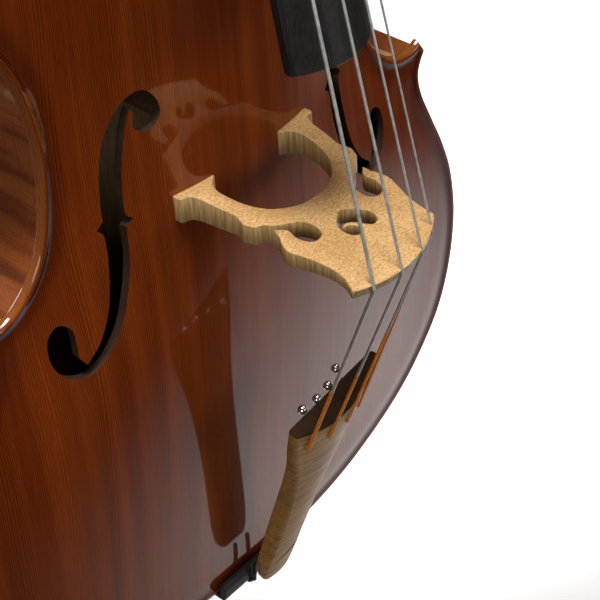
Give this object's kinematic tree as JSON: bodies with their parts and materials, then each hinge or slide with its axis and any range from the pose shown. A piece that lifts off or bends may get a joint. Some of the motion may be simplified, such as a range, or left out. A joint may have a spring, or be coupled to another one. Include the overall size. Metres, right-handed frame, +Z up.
{
  "type": "double bass",
  "caption": "Upright bowed string bass: arched body with f-holes, bridge, tailpiece, geared tuning machines and a sliding endpin.",
  "frame": {"origin": "middle of the endpin's rubber tip, on the floor", "axes": "+Z up along the endpin to the scroll, -Y out of the top plate (the strings' side), +X the treble (G string) side"},
  "size_m": [0.656, 0.4401, 1.9919],
  "materials": {
    "spruce_varnished": "gloss",
    "maple_varnished": "gloss",
    "bare_spruce": "matte",
    "purfling": "satin",
    "ebony": "satin",
    "bridge_maple": "satin",
    "tail_maple": "satin",
    "roller_wood": "satin",
    "brass": "satin",
    "steel": "satin",
    "string_steel": "satin",
    "chrome": "polished",
    "silk": "satin",
    "dark_wire": "satin",
    "rubber": "matte"
  },
  "bodies": {
    "root": {"top_plate": "spruce_varnished", "back_plate": "maple_varnished", "bass_upper_rib": "maple_varnished", "treble_upper_rib": "maple_varnished", "bass_middle_rib": "maple_varnished", "treble_middle_rib": "maple_varnished", "bass_lower_rib": "maple_varnished", "treble_lower_rib": "maple_varnished", "top_linings": "bare_spruce", "back_linings": "bare_spruce", "neck_block": "bare_spruce", "tail_block": "bare_spruce", "corner_blocks": "bare_spruce", "bass_bar": "bare_spruce", "sound_post": "bare_spruce", "top_purfling": "purfling", "back_purfling": "purfling", "neck": "maple_varnished", "fingerboard": "ebony", "nut": "ebony", "head": "maple_varnished", "bass_machine_plate": "brass", "treble_machine_plate": "brass", "machine_screws": "brass", "string_e": "string_steel", "string_a": "string_steel", "string_d": "string_steel", "string_g": "string_steel", "string_silks": "silk", "string_balls": "chrome", "bridge": "bridge_maple", "tailpiece": "tail_maple", "tail_wire": "dark_wire", "saddle": "ebony", "endpin_collar": "ebony"},
    "e_key": {"key_e": "brass"},
    "e_roller": {"roller_e": "roller_wood", "gear_e": "brass", "winding_e": "silk"},
    "a_key": {"key_a": "brass"},
    "a_roller": {"roller_a": "roller_wood", "gear_a": "brass", "winding_a": "silk"},
    "d_key": {"key_d": "brass"},
    "d_roller": {"roller_d": "roller_wood", "gear_d": "brass", "winding_d": "silk"},
    "g_key": {"key_g": "brass"},
    "g_roller": {"roller_g": "roller_wood", "gear_g": "brass", "winding_g": "silk"},
    "endpin": {"endpin_rod": "steel", "endpin_tip": "rubber"},
    "thumb_screw": {"thumb_screw": "steel"}
  },
  "joints": [
    {"name": "e_key_turn", "type": "hinge", "parent": "root", "child": "e_key", "pos_m": [-0.0335, 0.00794, 1.76524], "axis": [0, 0.9397, -0.342], "continuous": true},
    {"name": "e_roller_turn", "type": "hinge", "parent": "root", "child": "e_roller", "pos_m": [0, 0.00065, 1.74522], "axis": [1, 0, 0], "continuous": true},
    {"name": "a_key_turn", "type": "hinge", "parent": "root", "child": "a_key", "pos_m": [-0.0335, 0.03325, 1.83477], "axis": [0, 0.9397, -0.342], "continuous": true},
    {"name": "a_roller_turn", "type": "hinge", "parent": "root", "child": "a_roller", "pos_m": [0, 0.02596, 1.81476], "axis": [1, 0, 0], "continuous": true},
    {"name": "d_key_turn", "type": "hinge", "parent": "root", "child": "d_key", "pos_m": [0.0335, 0.04282, 1.86108], "axis": [0, 0.9397, -0.342], "continuous": true},
    {"name": "d_roller_turn", "type": "hinge", "parent": "root", "child": "d_roller", "pos_m": [0, 0.03554, 1.84107], "axis": [1, 0, 0], "continuous": true},
    {"name": "g_key_turn", "type": "hinge", "parent": "root", "child": "g_key", "pos_m": [0.0335, 0.01751, 1.79155], "axis": [0, 0.9397, -0.342], "continuous": true},
    {"name": "g_roller_turn", "type": "hinge", "parent": "root", "child": "g_roller", "pos_m": [0, 0.01023, 1.77153], "axis": [1, 0, 0], "continuous": true},
    {"name": "endpin_slide", "type": "slide", "parent": "root", "child": "endpin", "axis": [0, 0, 1], "range_m": [-0.15, 0.105]},
    {"name": "thumb_screw_turn", "type": "hinge", "parent": "root", "child": "thumb_screw", "pos_m": [0.04, 0, 0.1562], "axis": [1, 0, 0], "range_deg": [0, 540]}
  ],
  "couplings": [
    {"joint": "e_roller_turn", "follows": "e_key_turn", "ratio": -0.041667},
    {"joint": "a_roller_turn", "follows": "a_key_turn", "ratio": -0.041667},
    {"joint": "d_roller_turn", "follows": "d_key_turn", "ratio": 0.041667},
    {"joint": "g_roller_turn", "follows": "g_key_turn", "ratio": 0.041667}
  ]
}
